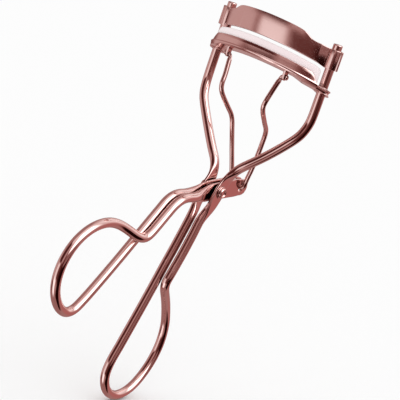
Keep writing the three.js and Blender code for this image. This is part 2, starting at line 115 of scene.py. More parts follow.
def boolean(ob, others, operation):
    """Applies the others to ob, removes them and cleans up the seams."""
    for other in others:
        modifier = ob.modifiers.new("cut", "BOOLEAN")
        modifier.operation = operation
        modifier.solver = "EXACT"
        modifier.object = other
    bpy.context.view_layer.update()
    depsgraph = bpy.context.evaluated_depsgraph_get()
    result = bpy.data.meshes.new_from_object(ob.evaluated_get(depsgraph))
    ob.modifiers.clear()
    old = ob.data
    ob.data = result
    bpy.data.meshes.remove(old)
    for other in others:
        bpy.data.objects.remove(other)
    bm = bmesh.new()
    bm.from_mesh(ob.data)
    bmesh.ops.remove_doubles(bm, verts=bm.verts, dist=2e-7)
    bmesh.ops.dissolve_degenerate(bm, dist=1e-7, edges=bm.edges)
    bm.to_mesh(ob.data)
    bm.free()


def mirrored(ob, name):
    """Left-hand copy of a right-hand piece."""
    mesh = ob.data.copy()
    mesh.transform(Matrix.Scale(-1, 4, (1, 0, 0)))
    mesh.flip_normals()
    mesh.name = name
    copy = bpy.data.objects.new(name, mesh)
    bpy.context.scene.collection.objects.link(copy)
    return copy


def side_strip(stations, size, closed_path=False):
    """Quads between successive rings of size points, and their UVs (station, turn)."""
    count = len(stations)
    faces, uvs = [], []
    for i in range(count if closed_path else count - 1):
        for j in range(size):
            k, i2 = (j + 1) % size, (i + 1) % count
            faces.append((i * size + j, i * size + k, i2 * size + k, i2 * size + j))
            a, b = stations[i], stations[i2]
            uvs.append(((a, j / size), (a, (j + 1) / size), (b, (j + 1) / size), (b, j / size)))
    return faces, uvs


def loft(name, rings, stations=None, angle=32, closed_path=False):
    """Skin over rings. The ends are capped unless the last ring joins the first."""
    size, count = len(rings[0]), len(rings)
    verts = np.concatenate(rings)
    if stations is None:
        stations = list(range(count))
    faces, uvs = side_strip(stations, size, closed_path)
    if not closed_path:
        for start, station in ((0, stations[0]), ((count - 1) * size, stations[-1])):
            # an inner ring, then a fan, so the flat end shades flat
            rim = verts[start:start + size]
            centre = rim.mean(0)
            inner = len(verts)
            verts = np.vstack([verts, rim * 0.5 + centre * 0.5, centre[None]])
            for j in range(size):
                k = (j + 1) % size
                faces.append((start + j, start + k, inner + k, inner + j))
                faces.append((inner + j, inner + k, inner + size))
                uvs.append(((station, 0.1),) * 4)
                uvs.append(((station, 0.1),) * 3)
    return add_mesh(name, verts, faces, uvs, angle)


def turned_rings(axis, at, profile, sides):
    """Circles about an x or z axis through at; profile rows are (distance along it, radius)."""
    turn = (np.arange(sides) + 0.5) / sides * 2 * math.pi
    zero = np.zeros(sides)
    rings = []
    for along, radius in profile:
        c, s = np.cos(turn) * radius, np.sin(turn) * radius
        if axis == "x":
            columns = [zero + at[0] + along, at[1] + c, at[2] + s]
        else:
            columns = [at[0] + c, at[1] + s, zero + at[2] + along]
        rings.append(np.stack(columns, axis=1))
    return rings


def lathe(name, axis, at, profile, sides, angle=32):
    rings = turned_rings(axis, at, profile, sides)
    return loft(name, rings, [row[0] for row in profile], angle)


def drill(axis, at, start, end, radius, sides):
    """Cylinder for cutting a hole, from start to end along the axis."""
    return lathe("cut", axis, at, [(start, radius), (end, radius)], sides)


def rounded_rim(outline, radius, steps=3):
    """(inset outline, depth in from the face) pairs that round a rim, face first."""
    edges = np.roll(outline, -1, 0) - outline
    edges /= np.linalg.norm(edges, axis=1)[:, None]
    normals = np.stack([edges[:, 1], -edges[:, 0]], axis=1)
    normals = normals + np.roll(normals, 1, 0)
    normals /= np.maximum(np.sum(normals * normals, axis=1), 0.4)[:, None] / 2
    turns = [k / steps * math.pi / 2 for k in range(steps + 1)]
    return [(outline - normals * radius * (1 - math.sin(a)), radius * (1 - math.cos(a)))
            for a in turns]


def extrude_outline(name, outline, z_lo, z_hi, rim):
    """Solid between heights z_lo(x, y) and z_hi(x, y) over a closed plan outline."""
    outline = np.asarray(outline, float)
    following = np.roll(outline, -1, 0)
    area = 0.5 * np.sum(outline[:, 0] * following[:, 1] - following[:, 0] * outline[:, 1])
    if area < 0:
        outline = outline[::-1]
    steps = rounded_rim(outline, rim)
    rings = [np.c_[plan, [z_lo(*p) + depth for p in plan]] for plan, depth in steps]
    rings += [np.c_[plan, [z_hi(*p) - depth for p in plan]] for plan, depth in reversed(steps)]
    size, count = len(outline), len(rings)
    faces, _ = side_strip(range(count), size)
    for triangle in tessellate_polygon([[Vector((p[0], p[1], 0)) for p in rings[0]]]):
        faces.append(tuple(reversed(triangle)))
        faces.append(tuple(i + (count - 1) * size for i in triangle))
    return add_mesh(name, np.concatenate(rings), faces)


# ------------------------------------------------------------------ path helpers
def spline(rows, samples=16):
    """Centripetal spline through rows of x, y, z and optional half width, half thickness."""
    P = np.array([list(r) + [WIRE_R] * (5 - len(r)) for r in rows], float)
    count = len(P)
    out = []
    for i in range(count - 1):
        p1, p2 = P[i, :3], P[i + 1, :3]
        p0 = P[i - 1, :3] if i > 0 else 2 * p1 - p2
        p3 = P[i + 2, :3] if i + 2 < count else 2 * p2 - p1
        d0, d1, d2 = (max(np.sum((b - a) ** 2) ** 0.25, 1e-4)
                      for a, b in ((p0, p1), (p1, p2), (p2, p3)))
        t1 = ((p1 - p0) / d0 - (p2 - p0) / (d0 + d1) + (p2 - p1) / d1) * d1
        t2 = ((p2 - p1) / d1 - (p3 - p1) / (d1 + d2) + (p3 - p2) / d2) * d1
        c2, c3 = -3 * p1 + 3 * p2 - 2 * t1 - t2, 2 * p1 - 2 * p2 + t1 + t2
        for k in range(samples):
            u = k / samples
            s = u * u * (3 - 2 * u)
            place = p1 + t1 * u + c2 * u * u + c3 * u ** 3
            out.append(np.concatenate([place, P[i, 3:] * (1 - s) + P[i + 1, 3:] * s]))
    out.append(P[-1])
    return np.array(out)


def distances(points):
    """Length along a path at each of its points."""
    return np.r_[0, np.cumsum(np.linalg.norm(np.diff(points, axis=0), axis=1))]


def resample(rows, step, spread):
    """Even spacing, then a Gaussian of the given spread (mm), so the surface has no kinks."""
    along = distances(rows[:, :3])
    length = along[-1]
    count = max(8, int(round(length / step)))
    stations = np.linspace(0, length, count + 1)
    even = np.stack([np.interp(stations, along, column) for column in rows.T], axis=1)
    spacing = length / count
    reach = int(math.ceil(3 * spread / spacing))
    weights = np.exp(-0.5 * (np.arange(-reach, reach + 1) * spacing / spread) ** 2)
    weights /= weights.sum()
    before = 2 * even[0] - even[reach:0:-1]
    after = 2 * even[-1] - even[-2:-reach - 2:-1]
    padded = np.concatenate([before, even, after])
    smooth = np.stack([np.convolve(column, weights, "valid") for column in padded.T], axis=1)
    smooth[0], smooth[-1] = even[0], even[-1]
    smooth[:, 3:] = np.clip(smooth[:, 3:], even[:, 3:].min(), even[:, 3:].max())
    return smooth


def mirror_rows(rows):
    """The same path on the other side, run backwards."""
    return [[-r[0]] + list(r[1:]) for r in rows][::-1]


def tangents(points):
    steps = np.diff(points, axis=0)
    steps /= np.linalg.norm(steps, axis=1)[:, None] + 1e-12
    out = np.zeros_like(points)
    out[0], out[-1] = steps[0], steps[-1]
    out[1:-1] = steps[1:] + steps[:-1]
    return out / (np.linalg.norm(out, axis=1)[:, None] + 1e-12)


def section(half_width, half_thickness, sides):
    """Offsets (in thickness, in width); round wire turns boxier the flatter it is."""
    power = 2 / (2 + 2.6 * max(0.0, 1 - half_thickness / half_width))
    turn = (np.arange(sides) + 0.5) / sides * 2 * math.pi
    c, s = np.cos(turn), np.sin(turn)
    return (np.sign(c) * np.abs(c) ** power * half_thickness,
            np.sign(s) * np.abs(s) ** power * half_width)


def sweep(name, rows, sides, fixed, end_radius):
    """Capped tube along rows, its end rims rounded. fixed keeps the thickness direction near X;
    otherwise it is carried along without twist."""
    points, widths, thicknesses = rows[:, :3], rows[:, 3], rows[:, 4]
    directions = tangents(points)
    along = distances(points)
    start = np.array([1.0, 0, 0])
    if not fixed and abs(directions[0][0]) > 0.8:
        start = np.array([0, 1.0, 0])
    turns = [k * math.pi / 2 for k in (0.0, 0.35, 0.7, 1.0)]
    # (distance in from the end, inset of the section)
    rounding = [(end_radius * (1 - math.cos(a)), end_radius * (1 - math.sin(a))) for a in turns]
    rings, lengths = [], []
    carried = start
    for i, (point, tangent) in enumerate(zip(points, directions)):
        if i == 0:
            steps = rounding
        elif i == len(points) - 1:
            steps = [(-shift, inset) for shift, inset in reversed(rounding)]
        elif along[i] < end_radius * 1.2 or along[i] > along[-1] - end_radius * 1.2:
            continue
        else:
            steps = [(0.0, 0.0)]
        thick_way = start if fixed else carried
        thick_way = thick_way - tangent * np.dot(thick_way, tangent)
        thick_way /= np.linalg.norm(thick_way)
        wide_way = np.cross(tangent, thick_way)
        carried = thick_way
        for shift, inset in steps:
            u, v = section(widths[i] - inset, thicknesses[i] - inset, sides)
            centre = point + tangent * shift
            rings.append(centre + np.outer(u, thick_way) + np.outer(v, wide_way))
            lengths.append(along[i] + shift)
    return loft(name, rings, lengths)


def corner_arc(before, corner, after, radius, segments, limit, straight):
    """Curve that rounds a corner. It uses at most the limit share of each leg, and leaves
    the corner alone when its angle is over straight (radians)."""
    u, v = before - corner, after - corner
    u_length, v_length = np.linalg.norm(u), np.linalg.norm(v)
    u, v = u / u_length, v / v_length
    angle = math.acos(max(-1, min(1, float(np.dot(u, v)))))
    if radius <= 0 or angle > straight:
        return [corner]
    trim = min(radius / math.tan(angle / 2), limit * u_length, limit * v_length)
    p, q = corner + u * trim, corner + v * trim
    return [(1 - s) ** 2 * p + 2 * s * (1 - s) * corner + s * s * q
            for s in (k / segments for k in range(segments + 1))]


def fillet_path(points, radii, segments):
    """Rounds the corners of an open polyline; one radius per point, the ends unused."""
    P = [np.array(p, float) for p in points]
    out = [P[0]]
    for i in range(1, len(P) - 1):
        out += corner_arc(P[i - 1], P[i], P[i + 1], radii[i], segments,
                          limit=0.48, straight=math.pi - 0.02)
    out.append(P[-1])
    return out


# ------------------------------------------------------------------ frame wire
# x, y, z [, half width, half thickness]; round wire where the last two are left out
FRAME_SIDE = [  # from the top of the right post down past the pivot plate
    [POST_X, 0, POST_TOP], [POST_X, 0, 38], [POST_X, 0, 28.4], [17.7, -0.1, 26.3],
    [17.36, -0.45, 24.4], [16.94, -0.85, 22.85], [16.3, -1.22, 21.5], [15.5, -1.55, 20.25],
    [13.76, -2.02, 17.95], [9.95, -3.15, 13.36], [5.86, -4.52, 8.95], [4.38, -4.82, 7.35],
    [3.29, -5.15, 5.63, 1.45, 1.05],
    [FRAME_PLATE_X + 0.06, -5.95, 2.97, 2.2, 0.5],
    [FRAME_PLATE_X, -7.2, -0.04, 2.6, FRAME_PLATE_T],
    [FRAME_PLATE_X, -8.35, -2.74, 2.55, FRAME_PLATE_T],
    [FRAME_PLATE_X - 0.02, -9.26, -4.81, 2.1, 0.62],
    [1.86, -10.24, -6.91, 1.5, 1.1], [1.57, -11.31, -8.98], [1.6, -12.52, -12.92],
]
FRAME_RING = [  # stem and finger ring, x, y, z
    [1.62, -14.4, -18.5], [1.6, -16.2, -23.2], [1.57, -17.2, -25.7], [1.42, -17.6, -27.4],
    [1.1, -16.9, -29.1], [0.55, -15.1, -31.0], [-0.15, -12.5, -33.4], [-0.85, -9.6, -36.5],
    [-1.3, -7.2, -39.8], [-1.5, -5.6, -42.7], [-1.6, -4.75, -45.7], [-1.6, -4.5, -48.9],
    [-1.6, -4.95, -52.1], [-1.6, -6.1, -55.3], [-1.6, -8.0, -58.5], [-1.6, -10.8, -61.5],
    [-1.6, -14.6, -63.5], [-1.6, -19.0, -63.9], [-1.6, -23.0, -62.4], [-1.6, -26.0, -59.5],
    [-1.6, -27.5, -56.0], [-1.6, -27.1, -52.2], [-1.6, -25.3, -47.6], [-1.6, -20.1, -34.1],
    [-1.6, -16.3, -23.5], [-1.62, -14.4, -18.5],
]


def build_frame():
    path = spline(FRAME_SIDE + FRAME_RING + mirror_rows(FRAME_SIDE))
    wire = sweep("frame_wire", resample(path, step=0.4, spread=0.75), 40, True, 0.22)
    holes = [drill("x", (s * FRAME_PLATE_X, PIVOT_Y, PIVOT_Z), -1.2, 1.2, RIVET_R + 0.04, 48)
             for s in SIDES]
    boolean(wire, holes, "DIFFERENCE")
    shade(wire, 30)
    return wire


# ------------------------------------------------------------------ lever wire
# x, y, z [, half width, half thickness]
LEVER_SIDE = [  # from the rear tip of the right crank plate forward
    [LEVER_PLATE_X, 8.43, 0.02, 0.75, 0.3],
    [LEVER_PLATE_X, 8.08, 0.05, 1.45, LEVER_PLATE_T],
    [LEVER_PLATE_X, 7.28, 0.17, 2.1, LEVER_PLATE_T],
    [LEVER_PLATE_X, 5.78, 0.32, 2.5, LEVER_PLATE_T],
    [LEVER_PLATE_X, 2.68, 0.22, 2.75, LEVER_PLATE_T],
    [LEVER_PLATE_X, -2.32, -0.23, 2.65, LEVER_PLATE_T],
    [LEVER_PLATE_X, -7.32, -0.63, 2.6, LEVER_PLATE_T],
    [LEVER_PLATE_X, -11.62, -1.23, 2.45, LEVER_PLATE_T],
    [1.12, -14.19, -1.68, 1.9, 0.75], [1.39, -16.69, -1.89, 1.4, 1.2],
    [1.43, -18.62, -2.0], [1.45, -21.75, -2.07], [1.45, -24.27, -2.68], [1.45, -26.4, -4.0],
    [1.4, -28.3, -6.1], [1.4, -31.2, -9.5],
]
LEVER_RING = [  # finger ring, x, y, z
    [1.38, -33.4, -11.9], [1.3, -34.9, -12.95], [1.1, -36.8, -13.1], [0.5, -39.5, -12.25],
    [-0.3, -42.4, -10.95], [-0.95, -45.4, -9.85], [-1.4, -49.2, -9.25], [-1.5, -53.6, -9.75],
    [-1.5, -57.6, -11.35], [-1.5, -60.9, -14.1], [-1.5, -63.0, -17.6], [-1.5, -63.9, -21.6],
    [-1.5, -63.4, -25.8], [-1.5, -61.5, -29.6], [-1.5, -58.6, -32.5], [-1.5, -55.4, -33.9],
    [-1.5, -52.6, -33.4], [-1.5, -50.0, -31.3], [-1.45, -42.2, -22.7], [-1.4, -34.0, -12.9],
]
TIP_LENGTH, TIP_HALF, TIP_END_HALF = 3.2, 2.5, 0.72   # rounded end of the crank
SLOT_Y, SLOT_Z, SLOT_R = 4.75, 0.75, 1.12             # slot that the link ends reach
SLOT_DY, SLOT_DZ = -0.3, 0.72                         # from its middle to an end's centre
SLOT_POINTS = 48


def round_tip(rows):
    """Makes the width follow an arc over the first millimetres of rows, in place."""
    for row, along in zip(rows, distances(rows[:, :3])):
        if along < TIP_LENGTH:
            u = 1 - along / TIP_LENGTH
            arc = math.sqrt(max(0.0, 1 - u ** 2.3))
            row[3] = TIP_END_HALF + (TIP_HALF - TIP_END_HALF) * arc
            row[4] = LEVER_PLATE_T


def slot_cutter(side):
    outline = []
    for k in range(SLOT_POINTS):
        turn = k / SLOT_POINTS * 2 * math.pi + math.atan2(SLOT_DZ, SLOT_DY) - math.pi / 2 + 0.01
        end = 1 if k < SLOT_POINTS // 2 else -1
        outline.append((SLOT_Y + end * SLOT_DY + SLOT_R * math.cos(turn),
                        SLOT_Z + end * SLOT_DZ + SLOT_R * math.sin(turn)))
    return loft("slot", [np.array([[side * LEVER_PLATE_X + reach, y, z] for y, z in outline])
                         for reach in (-1.0, 1.0)])


def build_lever():
    path = spline(LEVER_SIDE + LEVER_RING + mirror_rows(LEVER_SIDE))
    rows = resample(path, step=0.35, spread=0.6)
    round_tip(rows)
    round_tip(rows[::-1])
    wire = sweep("lever_wire", rows, 40, True, 0.1)
    cutters = []
    for s in SIDES:
        pivot = (s * LEVER_PLATE_X, PIVOT_Y, PIVOT_Z)
        cutters.append(drill("x", pivot, -1, 1, RIVET_R + 0.06, 48))
        cutters.append(slot_cutter(s))
    boolean(wire, cutters, "DIFFERENCE")
    shade(wire, 30)
    return wire


# ------------------------------------------------------------------ what both bars share
def bar_point(angle, outward):
    """Plan point on the bars' arc, moved outward (to the front at the middle)."""
    r = BAR_R + outward
    return np.array([r * math.sin(angle), BAR_MID_Y + BAR_R - r * math.cos(angle)])


def sloped(z, y):
    """Height at y of a surface that is at z where y is 0."""
    return z - SLOPE * y


# ------------------------------------------------------------------ press bar
# distance from the middle in X, sheet height there
PRESS_HEIGHTS = [
    (0, 6.15), (8, 6.1), (9.6, 6.03), (10.6, 5.9), (11.2, 5.68), (11.7, 5.38), (12.2, 5.03),
    (12.7, 4.82), (13.3, 4.74), (14, 4.75), (15.4, 4.95), (17, 5.1),
]
HEIGHT_STEP, HEIGHT_SPREAD, HEIGHT_REACH = 0.05, 0.4, 24   # Gaussian over the heights
KNUCKLE_R, KNUCKLE_LO, KNUCKLE_HI = 1.66, 41.9, 47.3       # sheet tube round each post
BLEND_FROM, BLEND_TO = 15.4, 16.9                          # X range from bar to knuckle height
FLANGE_END = 20.1


def smooth_heights():
    """Finely sampled and smoothed PRESS_HEIGHTS, as X stations and heights."""
    stations = np.linspace(0, 17.5, 351)
    heights = np.interp(stations, *zip(*PRESS_HEIGHTS))
    taps = np.arange(-HEIGHT_REACH, HEIGHT_REACH + 1)
    weights = np.exp(-0.5 * (taps * HEIGHT_STEP / HEIGHT_SPREAD) ** 2)
    weights /= weights.sum()
    padded = np.r_[heights[HEIGHT_REACH:0:-1], heights, np.full(HEIGHT_REACH, heights[-1])]
    return stations, np.convolve(padded, weights, "valid")


def around_post(degrees):
    """Plan point on the outside of the right knuckle."""
    turn = math.radians(degrees)
    return np.array([POST_X + KNUCKLE_R * math.cos(turn), KNUCKLE_R * math.sin(turn)])


def press_outline():
    """Plan outline: the bar's arc, the sheet carried in front of each post, a flat flange at
    the outer side, round the back of the post, and closed on the bar's rear face."""
    half_sheet = PRESS_T / 2
    front_end, rear_end = math.asin(15.0 / BAR_R), math.asin(14.6 / BAR_R)
    half = [bar_point(angle, half_sheet) for angle in np.linspace(0, front_end, 70)]
    # the sheet meets the knuckle at a crease
    half += fillet_path([half[-1], (15.75, -3.3), around_post(-126), around_post(-112)],
                        [0, 1.6, 0.12, 0], 6)[1:]
    half += [around_post(degrees) for degrees in np.linspace(-108, -24, 22)]
    flange = [half[-1], (POST_X + KNUCKLE_R + 0.12, -0.43), (FLANGE_END, -0.41),
              (FLANGE_END, 0.33), (POST_X + KNUCKLE_R + 0.1, 0.35), around_post(20)]
    half += fillet_path(flange, [0, 0.35, 0.34, 0.34, 0.35, 0], 6)[1:]
    half += [around_post(degrees) for degrees in np.linspace(20, 212, 44)[1:]]
    closing = [half[-1], (16.16, -1.04), (15.06, -2.89), bar_point(rear_end, -half_sheet)]
    half += fillet_path(closing, [0, 0.1, 1.6, 0], 5)[1:-1]
    half += [bar_point(angle, -half_sheet) for angle in np.linspace(rear_end, 0, 70)]
    return half + [np.array([-p[0], p[1]]) for p in reversed(half[1:-1])]


def knuckle_share(x):
    """0 along the bar, 1 at the knuckles."""
    u = min(1.0, max(0.0, (abs(x) - BLEND_FROM) / (BLEND_TO - BLEND_FROM)))
    return u * u * (3 - 2 * u)


def build_press_bar():
    stations, heights = smooth_heights()

    def top(x, y):
        share = knuckle_share(x)
        height = float(np.interp(min(abs(x), 16.3), stations, heights))
        return sloped(PRESS_Z + height, y) * (1 - share) + KNUCKLE_HI * share

    def bottom(x, y):
        share = knuckle_share(x)
        return sloped(PRESS_Z, y) * (1 - share) + KNUCKLE_LO * share

    bar = extrude_outline("press_bar", press_outline(), bottom, top, rim=0.14)
    holes = [drill("z", (s * POST_X, 0, 0), 40, 49, WIRE_R + 0.03, 64) for s in SIDES]
    boolean(bar, holes, "DIFFERENCE")
    shade(bar, 34)
    return bar


# ------------------------------------------------------------------ channel
TAB_OUTLINE = [  # plan of the right tab round the post, x, y
    (14.2, -6.62), (15.5, -5.8), (16.4, -5.0), (17.3, -4.1), (18.3, -3.0), (19.2, -2.0),
    (19.75, -1.3), (19.4, 0.2), (17.6, 1.9), (15.9, 1.2), (15.5, 0), (15.0, -0.9),
    (14.2, -1.7), (13.2, -2.75),
]
EYELET = [  # flared tube in the tab, z, radius
    (34.72, 2.02), (34.74, 2.14), (34.8, 2.24), (34.88, 2.28), (34.97, 2.24), (35.06, 2.14),
    (35.25, 2.03), (35.5, 1.98), (35.75, 2.02), (35.93, 2.12), (36.06, 2.28), (36.14, 2.36),
    (36.22, 2.37), (36.28, 2.33), (36.31, 2.24),
]
DROP_FROM, DROP, DROP_LENGTH = 14.5, 2.35, 1.65   # the walls fall away near each end


def channel_profile(x):
    """Rounded cross-section at x: (outward from the arc, height above the base)."""
    beyond = abs(x) - DROP_FROM
    drop = 0 if beyond < 0 else min(DROP, DROP * (beyond / DROP_LENGTH) ** 1.6)
    top = WALL_TOP - drop
    lift = BASE_LIFT * max(0, min(1, (14 - abs(x)) / 2.5))
    half, inner = CHANNEL_HALF, CHANNEL_HALF - WALL_T
    ridge = FLOOR_H - 0.02
    k = (top - ridge - 0.3) / 2.12    # share of the front wall's full height left
    rows = [  # outward, up, corner radius
        (half + 0.08, lift, 0.2), (-half, lift, 0.16), (-half, top, 0.16),
        (-half + WALL_T, top, 0.16), (-half + WALL_T, FLOOR_H, 0.2), (inner, FLOOR_H, 0.2),
        (inner, top, 0.14), (half - 0.20 * k, top, 0.14),
        (half - 0.04 * k, ridge + 0.3 + 1.35 * k, 0.9), (half + 0.10, ridge + 0.3, 0.25),
        (half + 0.29, ridge, 0.16), (half + 0.27, ridge - 0.28, 0.16),
    ]
    points = [np.array(row[:2], float) for row in rows]
    out = []
    for i, row in enumerate(rows):
        # every corner gives the same number of points, so that the sections match
        out += corner_arc(points[i - 1], points[i], points[(i + 1) % len(rows)], row[2], 4,
                          limit=0.45, straight=math.pi)
    return out


def channel_trough():
    ends = np.linspace(14, CHANNEL_END, 24)
    xs = np.unique(np.r_[np.linspace(-CHANNEL_END, CHANNEL_END, 150), ends, -ends, 11.5, -11.5])
    profiles = [channel_profile(x) for x in xs]
    verts = []
    for x, profile in zip(xs, profiles):
        angle = math.asin(x / BAR_R)
        for outward, up in profile:
            p = bar_point(angle, outward)
            verts.append((p[0], p[1], sloped(CHANNEL_Z + up, p[1])))
    size = len(profiles[0])
    faces, uvs = side_strip(xs, size)
    for i in (0, len(xs) - 1):
        for triangle in tessellate_polygon([[Vector((a, b, 0)) for a, b in profiles[i]]]):
            triangle = triangle if i else tuple(reversed(triangle))
            faces.append(tuple(k + i * size for k in triangle))
            uvs.append(((xs[i], 0.0),) * 3)
    return add_mesh("channel", verts, faces, uvs, angle=30)


def channel_tab(side):
    path = fillet_path(TAB_OUTLINE, [0.6] * len(TAB_OUTLINE), 5)
    return extrude_outline("tab", [(side * x, y) for x, y in path],
                           lambda x, y: sloped(CHANNEL_Z + 0.01, y),
                           lambda x, y: sloped(CHANNEL_Z + FLOOR_H - 0.01, y), rim=0.14)


def channel_eyelet(side):
    """Flared eyelet, its rims parallel to the sloping floor."""
    eyelet = lathe("eye", "z", (side * POST_X, 0, 0), EYELET, 72)
    for vertex in eyelet.data.vertices:
        vertex.co.z -= SLOPE * (vertex.co.y - SHIFT[1] * MM)
    return eyelet


def build_channel():
    channel = channel_trough()
    parts = []
    for s in SIDES:
        parts.append(channel_tab(s))
        parts.append(channel_eyelet(s))
    boolean(channel, parts, "UNION")
    holes = [drill("z", (s * POST_X, 0, 0), 33, 40, WIRE_R + 0.08, 64) for s in SIDES]
    boolean(channel, holes, "DIFFERENCE")
    shade(channel, 34)
    return channel


# ------------------------------------------------------------------ pad
PAD_REACH = 16.72                      # X range of the stations
PAD_ROUND_FROM, PAD_TIP = 14.9, 16.73  # the ends are rounded between these
PAD_SIDES = 40


def pad_section(share):
    """Crowned section with sides that lean in a little: (outward, height above the base)."""
    half = PAD_HALF * share
    bottom, top = FLOOR_H + 0.05, PAD_TOP - 0.03 - (1 - share)
    out = []
    for j in range(PAD_SIDES):
        turn = (j + 0.5) / PAD_SIDES * 2 * math.pi
        c, s = math.cos(turn), math.sin(turn)
        u = math.copysign(abs(c) ** 0.5, c)
        v = math.copysign(abs(s) ** (0.62 if s > 0 else 0.3), s)
        out.append((u * half * (1 - 0.05 * max(0, v)),
                    (top + bottom) / 2 + v * (top - bottom) / 2))
    return out


def build_pad():
    xs = PAD_REACH * np.sin(np.linspace(-math.pi / 2, math.pi / 2, 161))
    xs = xs[1:-1]
    rings = []
    for x in xs:
        away = abs(x)
        share = 1.0
        if away >= PAD_ROUND_FROM:
            u = (away - PAD_ROUND_FROM) / (PAD_TIP - PAD_ROUND_FROM)
            share = max(math.sqrt(max(0.0, 1 - u ** 2.2)), 0.06)
        side = 1 if x > 0 else -1
        angle = math.asin(min(away, CHANNEL_END) / BAR_R) * side
        # beyond the channel the pad runs straight on
        over = np.array([math.cos(angle), math.sin(angle)]) * max(0.0, away - CHANNEL_END) * side
        ring = []
        for outward, up in pad_section(share):
            p = bar_point(angle, outward) + over
            ring.append((p[0], p[1], sloped(CHANNEL_Z + up, p[1])))
        rings.append(np.array(ring))
    return loft("pad", rings, list(xs), angle=60)


# ------------------------------------------------------------------ ears
EAR_T, EAR_RIM = 0.355, 0.1   # half thickness, rim radius


def build_ear(side, name):
    """Round-ended lug under the channel, with an eye for the link's pin."""
    outline = [(EAR_Y + EAR_R * math.cos(a), EAR_Z + EAR_R * math.sin(a))
               for a in np.linspace(math.pi, 2 * math.pi, 25)]
    outline += [(y, sloped(CHANNEL_Z + BASE_LIFT - 0.01, y))
                for y in (EAR_Y + EAR_R, EAR_Y - EAR_R)]
    steps = rounded_rim(np.array(outline), EAR_RIM)
    faces_x = [(EAR_X - EAR_T + depth, plan) for plan, depth in steps]
    faces_x += [(EAR_X + EAR_T - depth, plan) for plan, depth in reversed(steps)]
    lug = loft(name, [np.c_[np.full(len(outline), side * x), plan] for x, plan in faces_x])
    boolean(lug, [drill("x", (side * EAR_X, EAR_Y, EAR_Z), -2, 2, PIN_R + 0.12, 40)],
            "DIFFERENCE")
    shade(lug, 34)
    return lug


# ------------------------------------------------------------------ links
LINK_PATH = [  # right link from the ear's eye down to the lever's slot, x, y, z [, radius]
    [EAR_X + 0.75, EAR_Y, EAR_Z, PIN_R], [EAR_X + 0.3, EAR_Y, EAR_Z, PIN_R],
    [EAR_X - 0.1, EAR_Y, EAR_Z, PIN_R], [EAR_X - 0.38, EAR_Y, EAR_Z, PIN_R],
    [EAR_X - 0.617, EAR_Y, EAR_Z - 0.047, PIN_R], [EAR_X - 0.818, EAR_Y, EAR_Z - 0.182, PIN_R],
    [EAR_X - 0.953, EAR_Y, EAR_Z - 0.383, PIN_R], [EAR_X - 1.0, EAR_Y, EAR_Z - 0.62, PIN_R],
    [8.5, -7.43, 35.15, 0.56], [8.43, -7.49, 34.75], [8.27, -7.66, 34.0], [7.65, -8.35, 30.4],
    [7.38, -8.85, 28.2], [7.16, -8.72, 26.8], [6.97, -7.75, 25.4], [6.4, -3.6, 21.9],
    [6.08, -0.95, 19.8], [5.78, 0.15, 18.2], [5.26, 1.15, 15.3], [4.18, 2.83, 9.77],
    [3.46, 3.72, 6.58], [2.88, 4.26, 4.19], [2.55, 4.62, 2.6], [2.43, 4.73, 1.45],
    [2.309, 4.73, 1.0], [1.98, 4.73, 0.671], [1.53, 4.73, 0.55], [0.9, 4.73, 0.55],
    [0.3, 4.73, 0.55],
]
BALL_X, BALL_HALF, BALL_R = 0.8, 0.36, 0.72   # ball on the pin's outer end, X from the eye


def build_link():
    rows = [row[:3] + [row[3] if len(row) > 3 else LINK_R] * 2 for row in LINK_PATH]
    wire = sweep("link_wire_right", resample(spline(rows), step=0.15, spread=0.2), 28, False, 0.2)
    profile = [(BALL_X - BALL_HALF * math.cos(a), BALL_R * math.sin(a))
               for a in np.linspace(0.55, math.pi - 0.3, 14)]
    ball = lathe("ball", "x", (EAR_X, EAR_Y, EAR_Z), [(0.44, 0.3)] + profile + [(1.155, 0.1)], 40)
    boolean(wire, [ball], "UNION")
    shade(wire, 40)
    return wire


# ------------------------------------------------------------------ rivets and washers
PIVOT = (0, PIVOT_Y, PIVOT_Z)
RIVET = [  # x, radius: inner rim, shank, then the outer head with its dished face
    (0.22, 0.4), (0.22, 1.2), (0.25, 1.36), (0.32, 1.46), (0.42, 1.5), (0.52, 1.49),
    (0.52, RIVET_R), (3.08, RIVET_R),
    (3.08, 1.42), (3.12, 1.48), (3.2, 1.5), (3.35, 1.5), (3.48, 1.47), (3.6, 1.39),
    (3.69, 1.28), (3.73, 1.16), (3.705, 1.06), (3.63, 0.99), (3.53, 0.94), (3.44, 0.89),
    (3.395, 0.82), (3.385, 0.7), (3.38, 0.4), (3.38, 0.1),
]
WASHER_R, WASHER_HOLE_R = 1.85, RIVET_R + 0.05
WASHER_IN, WASHER_OUT, WASHER_BEVEL = 2.82, 3.05, 0.05   # X of its two faces, bevel


def build_washer():
    bevel = WASHER_BEVEL
    profile = [
        (WASHER_IN, WASHER_HOLE_R + bevel), (WASHER_IN, WASHER_R - bevel),
        (WASHER_IN + bevel, WASHER_R), (WASHER_OUT - bevel, WASHER_R),
        (WASHER_OUT, WASHER_R - bevel), (WASHER_OUT, WASHER_HOLE_R + bevel),
        (WASHER_OUT - bevel, WASHER_HOLE_R), (WASHER_IN + bevel, WASHER_HOLE_R),
    ]
    return loft("washer_ring_right", turned_rings("x", PIVOT, profile, 72),
                [row[1] for row in profile], angle=30, closed_path=True)


# ------------------------------------------------------------------ shader helpers
def node(tree, kind, inputs=None, **settings):
    """New shader node; an input given as a socket is linked, anything else is its value."""
    made = tree.nodes.new("ShaderNode" + kind)
    for key, value in settings.items():
        setattr(made, key, value)
    for key, value in (inputs or {}).items():
        if isinstance(value, bpy.types.NodeSocket):
            tree.links.new(value, made.inputs[key])
        else:
            made.inputs[key].default_value = value
    return made


def map_range(tree, value, source=(0, 1), target=(0, 1), **settings):
    return node(tree, "MapRange", {
        "Value": value, "From Min": source[0], "From Max": source[1],
        "To Min": target[0], "To Max": target[1]}, **settings).outputs[0]


